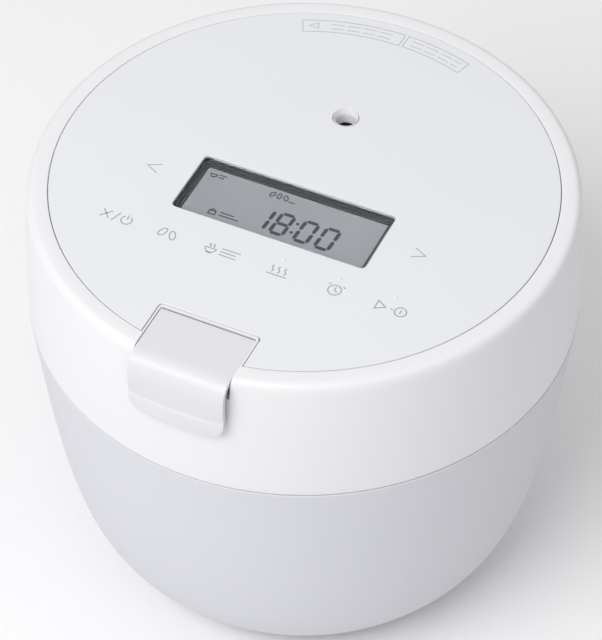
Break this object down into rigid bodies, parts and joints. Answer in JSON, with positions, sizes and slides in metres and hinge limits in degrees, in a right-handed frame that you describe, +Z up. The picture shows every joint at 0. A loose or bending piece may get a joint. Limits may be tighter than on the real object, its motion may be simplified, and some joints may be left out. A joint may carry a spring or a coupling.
{
  "type": "rice cooker",
  "caption": "Round white pressure induction rice cooker with a hinged lid, recessed display, touch panel, pull-up latch flap and removable-style inner pan.",
  "frame": {"origin": "middle of the whole object's footprint, on the surface it stands on", "axes": "+Z up; -Y is the front, where the latch flap is; +Y is the rear, where the lid's hinge is; +X is to the right as seen from the front"},
  "size_m": [0.252, 0.2744, 0.2231],
  "materials": {
    "case_white": "fine matt grain, cool white",
    "lid_white": "satin-gloss white",
    "panel_white": "satin, slightly bluish white",
    "frame_white": "satin white inner mouldings",
    "vent_grey": "light grey moulding",
    "dark_grey": "dark grey matt",
    "black_plastic": "black glass-filled moulding",
    "lcd_grey": "grey reflective LCD",
    "clear_window": "clear polished window",
    "foot_rubber": "matt grey rubber",
    "silicone": "grey silicone",
    "steel": "zinc-plated steel",
    "stainless": "brushed stainless steel",
    "aluminium": "plain aluminium",
    "copper": "lacquered copper litz",
    "ferrite": "sintered ferrite",
    "board_green": "solder-masked board",
    "capacitor_film": "potted film capacitor",
    "pan_coating": "dark non-stick coating with a fine fleck"
  },
  "bodies": {
    "body": {"outer_case": "case_white", "base_cover": "vent_grey", "foot_front_left": "foot_rubber", "foot_front_right": "foot_rubber", "foot_rear_left": "foot_rubber", "foot_rear_right": "foot_rubber", "base_screw_1": "steel", "base_screw_2": "steel", "base_screw_3": "steel", "base_screw_4": "steel", "top_frame": "frame_white", "inner_casing": "dark_grey", "inner_pan": "pan_coating", "inner_pan_floor": "pan_coating", "bottom_coil": "copper", "side_coil": "copper", "coil_carrier": "vent_grey", "ferrite_bar_1": "ferrite", "ferrite_bar_2": "ferrite", "sensor_holder": "black_plastic", "sensor_spring": "steel", "fan_frame": "black_plastic", "power_board": "board_green", "heat_sink": "aluminium", "filter_capacitor": "capacitor_film", "cord_gland": "black_plastic", "hinge_bracket": "steel", "hinge_cover": "case_white", "hinge_pin": "steel", "hinge_spring": "steel", "hinge_screw_left": "steel", "hinge_screw_right": "steel", "catch_plate": "steel"},
    "lid": {"lid_cover": "lid_white", "touch_panel": "panel_white", "lcd_window": "clear_window", "lcd_bezel": "dark_grey", "lcd_glass": "lcd_grey", "display_board": "board_green", "touch_board": "board_green", "steam_vent": "vent_grey", "lid_frame": "frame_white", "inner_lid": "stainless", "pan_gasket": "silicone", "lid_heater": "aluminium", "hinge_arm": "steel", "valve_chamber": "vent_grey", "solenoid_body": "black_plastic", "safety_valve_housing": "vent_grey", "safety_spring": "steel", "latch_bracket": "steel", "hook_pin": "steel", "hook_spring": "steel"},
    "fan": {"fan_rotor": "dark_grey"},
    "sensor": {"thermal_sensor": "aluminium"},
    "lever": {"latch_lever": "lid_white"},
    "hook": {"latch_hook": "steel"},
    "plunger": {"solenoid_plunger": "steel"},
    "ball": {"pressure_ball": "stainless"},
    "relief": {"safety_valve": "stainless"}
  },
  "joints": [
    {"name": "lid_hinge", "type": "hinge", "parent": "body", "child": "lid", "pos_m": [0, 0.12815, 0.1615], "axis": [-1, 0, 0], "range_deg": [0, 88]},
    {"name": "latch_lever_pivot", "type": "hinge", "parent": "lid", "child": "lever", "pos_m": [0, -0.10735, 0.2172], "axis": [-1, 0, 0], "range_deg": [0, 14], "stiffness_Nm_per_rad": 0.06, "springref_deg": -5.73},
    {"name": "latch_hook_pivot", "type": "hinge", "parent": "lid", "child": "hook", "pos_m": [0, -0.11985, 0.186], "axis": [1, 0, 0], "range_deg": [0, 7], "deforming": ["hook_spring"]},
    {"name": "valve_plunger_slide", "type": "slide", "parent": "lid", "child": "plunger", "axis": [0, 1, 0], "range_m": [0, 0.004], "stiffness_N_per_m": 60, "springref_m": -0.002},
    {"name": "pressure_ball_roll", "type": "slide", "parent": "lid", "child": "ball", "axis": [0, 0.9397, 0.342], "range_m": [0, 0.0044]},
    {"name": "safety_valve_lift", "type": "slide", "parent": "lid", "child": "relief", "axis": [0, 0, 1], "range_m": [0, 0.002], "stiffness_N_per_m": 400, "springref_m": -0.002, "deforming": ["safety_spring"]},
    {"name": "fan_spin", "type": "hinge", "parent": "body", "child": "fan", "pos_m": [0, -0.05285, 0.012], "axis": [0, 0, 1], "continuous": true},
    {"name": "pan_sensor_press", "type": "slide", "parent": "body", "child": "sensor", "axis": [0, 0, -1], "range_m": [0, 0.0015], "stiffness_N_per_m": 500, "springref_m": -0.002, "deforming": ["sensor_spring"]}
  ],
  "couplings": [
    {"joint": "latch_hook_pivot", "follows": "latch_lever_pivot", "ratio": 0.5},
    {"joint": "pressure_ball_roll", "follows": "valve_plunger_slide", "ratio": 1.064}
  ]
}
